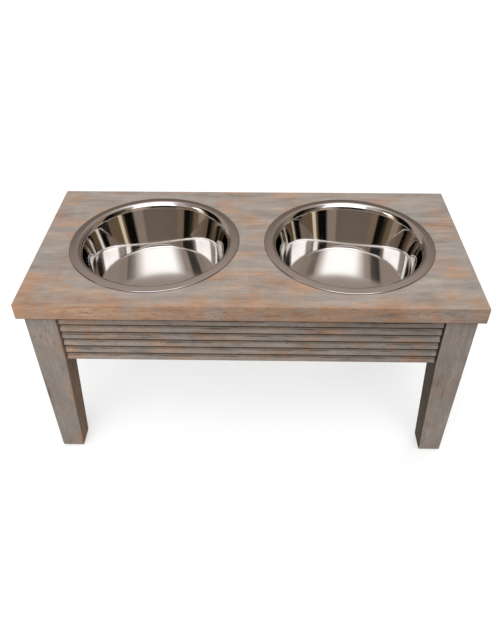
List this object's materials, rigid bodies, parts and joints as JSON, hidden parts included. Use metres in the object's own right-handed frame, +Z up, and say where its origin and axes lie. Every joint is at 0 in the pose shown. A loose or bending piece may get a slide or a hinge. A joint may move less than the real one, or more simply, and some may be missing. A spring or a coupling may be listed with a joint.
{
  "type": "dog feeder stand",
  "caption": "Raised wooden feeder stand on tapered legs, with lapped aprons and pressed steel bowls that lift out of round holes in its board.",
  "frame": {"origin": "on the floor, under the middle of the board", "axes": "+X to the right along the board's length, +Y to the back, +Z up"},
  "size_m": [0.56, 0.272, 0.2728],
  "materials": {
    "grey_washed_wood": "grey wash rubbed through along the grain and the edges, matte",
    "bare_wood": "planed, unfinished",
    "stainless_steel": "polished wall, satin rim and floor",
    "zinc_plated_steel": "bright zinc plate",
    "glide_plastic": "moulded, matte"
  },
  "bodies": {
    "stand": {"top_board": "grey_washed_wood", "front_apron": "grey_washed_wood", "back_apron": "grey_washed_wood", "left_apron": "grey_washed_wood", "right_apron": "grey_washed_wood", "front_left_leg": "grey_washed_wood", "front_right_leg": "grey_washed_wood", "back_left_leg": "grey_washed_wood", "back_right_leg": "grey_washed_wood", "front_left_corner_block": "bare_wood", "front_right_corner_block": "bare_wood", "back_left_corner_block": "bare_wood", "back_right_corner_block": "bare_wood", "front_centre_block": "bare_wood", "back_centre_block": "bare_wood", "hanger_bolts": "zinc_plated_steel", "bolt_washers": "zinc_plated_steel", "wing_nuts": "zinc_plated_steel", "block_screws": "zinc_plated_steel", "top_screws": "zinc_plated_steel", "glide_pads": "glide_plastic", "glide_nails": "zinc_plated_steel"},
    "left_bowl": {"left_bowl": "stainless_steel"},
    "right_bowl": {"right_bowl": "stainless_steel"}
  },
  "joints": [
    {"name": "left_bowl_lift", "type": "slide", "parent": "stand", "child": "left_bowl", "axis": [0, 0, 1], "range_m": [0, 0.12]},
    {"name": "right_bowl_lift", "type": "slide", "parent": "stand", "child": "right_bowl", "axis": [0, 0, 1], "range_m": [0, 0.12]}
  ]
}
